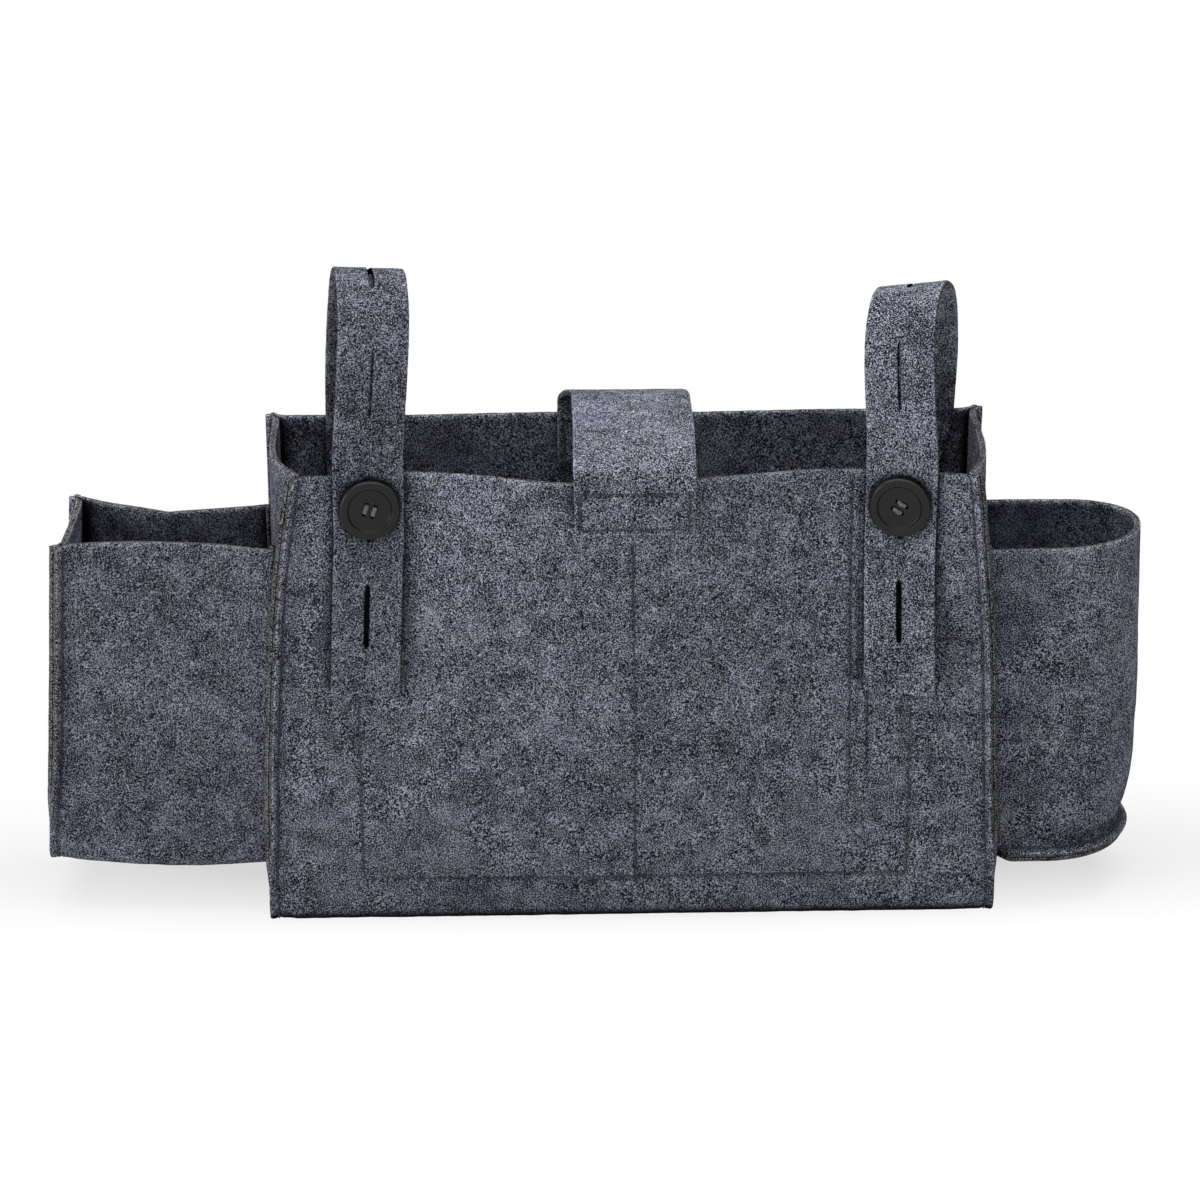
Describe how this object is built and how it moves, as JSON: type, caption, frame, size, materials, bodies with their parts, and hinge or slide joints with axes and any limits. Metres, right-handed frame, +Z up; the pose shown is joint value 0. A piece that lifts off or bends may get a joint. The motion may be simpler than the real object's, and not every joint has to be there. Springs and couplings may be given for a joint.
{
  "type": "felt bedside caddy",
  "caption": "Felt bedside caddy: open main bag with an inner organizer, a side pocket at each end, buttoned hanging straps and a closure flap.",
  "frame": {"origin": "middle of the flat underside of the main bag", "axes": "+X along the bag to its right as seen from the front, +Y from the front to the back, +Z up"},
  "size_m": [0.5542, 0.1411, 0.3317],
  "materials": {
    "felt": "matte marled charcoal felt",
    "flap_felt": "matte marled grey felt",
    "tape": "matte hook-and-loop tape",
    "button": "satin black",
    "dark_thread": "dark grey sewing thread",
    "button_thread": "light grey sewing thread"
  },
  "bodies": {
    "bag": {"body_panel": "felt", "left_gusset": "felt", "right_gusset": "felt", "left_gusset_stitching": "dark_thread", "right_gusset_stitching": "dark_thread", "organizer_panel": "felt", "organizer_edge_stitching": "dark_thread", "organizer_middle_stitching": "dark_thread", "left_pocket_panel": "felt", "left_pocket_gusset": "felt", "left_pocket_gusset_stitching": "dark_thread", "left_pocket_side_stitching": "dark_thread", "right_pocket_wall": "felt", "right_pocket_base": "felt", "right_pocket_front_stitching": "dark_thread", "right_pocket_back_stitching": "dark_thread", "right_pocket_base_stitching": "dark_thread", "left_strap_root": "felt", "left_strap_stitching": "dark_thread", "right_strap_root": "felt", "right_strap_stitching": "dark_thread", "left_button": "button", "left_button_thread": "button_thread", "right_button": "button", "right_button_thread": "button_thread", "loop_tape": "tape", "closure_flap_root": "flap_felt", "closure_flap_stitching": "dark_thread"},
    "left_strap": {"left_strap_loop": "felt", "left_strap_tail": "felt"},
    "right_strap": {"right_strap_loop": "felt", "right_strap_tail": "felt"},
    "flap": {"closure_flap": "flap_felt", "hook_tape": "tape", "hook_tape_stitching": "dark_thread"}
  },
  "joints": [
    {"name": "flap_open", "type": "hinge", "parent": "bag", "child": "flap", "pos_m": [0, 0.0517, 0.2415], "axis": [-1, 0, 0], "range_deg": [0, 130]},
    {"name": "left_strap_open", "type": "hinge", "parent": "bag", "child": "left_strap", "pos_m": [-0.12405, -0.01727, 0.3302], "axis": [-0.987, -0.1347, 0.0879], "range_deg": [0, 150], "deforming": ["left_strap_tail"]},
    {"name": "right_strap_open", "type": "hinge", "parent": "bag", "child": "right_strap", "pos_m": [0.13696, -0.02077, 0.31922], "axis": [-0.9521, 0.2657, -0.1512], "range_deg": [0, 150], "deforming": ["right_strap_tail"]}
  ]
}
